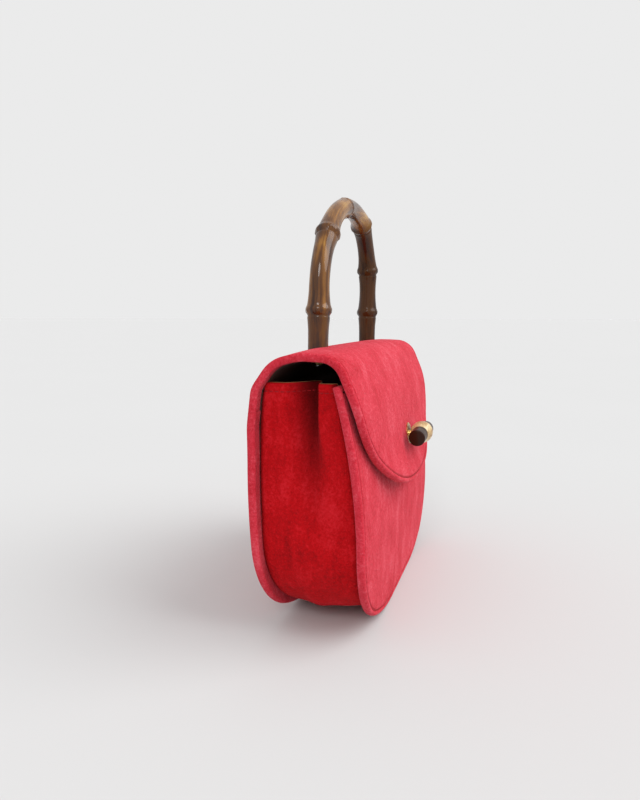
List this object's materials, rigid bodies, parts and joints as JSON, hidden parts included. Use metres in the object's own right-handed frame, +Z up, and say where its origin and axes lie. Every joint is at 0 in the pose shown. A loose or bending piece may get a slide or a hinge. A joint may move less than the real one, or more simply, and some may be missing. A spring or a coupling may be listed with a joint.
{
  "type": "top-handle flap handbag",
  "caption": "Small structured suede handbag with a fold-over flap on a rounded crown, an arched bamboo handle and a bamboo turn-lock.",
  "frame": {"origin": "Middle of the base, on the surface the bag stands on.", "axes": "+X runs along the bag's width, -Y points out of the front with the turn-lock, +Z is up."},
  "size_m": [0.21, 0.0835, 0.2505],
  "materials": {
    "suede": "red suede with a short brushed nap",
    "lining_leather": "dark brown smooth lining leather",
    "binding_leather": "tan leather edge binding",
    "board": "plain grey-brown stiffening board",
    "bamboo": "polished bamboo, amber with dark burnt nodes",
    "brass": "polished, slightly aged",
    "steel": "plain zinc-plated"
  },
  "bodies": {
    "bag": {"back_cover": "suede", "back_board": "board", "back_lining": "lining_leather", "base_cover": "suede", "base_corner_left": "suede", "base_corner_right": "suede", "base_board": "board", "base_lining": "lining_leather", "gusset_left": "suede", "gusset_right": "suede", "gusset_lining_left": "lining_leather", "gusset_lining_right": "lining_leather", "gusset_binding_left": "binding_leather", "gusset_binding_right": "binding_leather"},
    "front": {"front_cover": "suede", "front_board": "board", "front_lining": "lining_leather", "catch_plate": "brass", "catch_backplate": "brass", "catch_rivets": "brass"},
    "flap": {"flap_cover": "suede", "flap_board": "board", "crown_bar": "steel", "flap_lining": "lining_leather", "handle": "bamboo", "handle_studs": "steel", "handle_washers": "brass", "handle_nuts": "brass", "lock_bush": "brass", "lock_washer": "brass"},
    "turnlock": {"lock_toggle": "bamboo", "lock_spindle": "brass", "lock_cam": "brass", "lock_screw": "brass"}
  },
  "joints": [
    {"name": "flap_hinge", "type": "hinge", "parent": "bag", "child": "flap", "pos_m": [0, 0.03195, 0.1412], "axis": [-1, 0, 0], "range_deg": [0, 150]},
    {"name": "turn_lock", "type": "hinge", "parent": "flap", "child": "turnlock", "pos_m": [0, -0.0241, 0.0985], "axis": [0, -0.9879, 0.1551], "range_deg": [0, 90]},
    {"name": "mouth_tilt", "type": "hinge", "parent": "bag", "child": "front", "pos_m": [0, -0.0234, 0.006], "axis": [1, 0, 0], "range_deg": [0, 6], "deforming": ["gusset_left", "gusset_right", "gusset_lining_left", "gusset_lining_right", "gusset_binding_left", "gusset_binding_right"]}
  ],
  "couplings": [
    {"joint": "mouth_tilt", "follows": "flap_hinge", "ratio": 0.04}
  ]
}
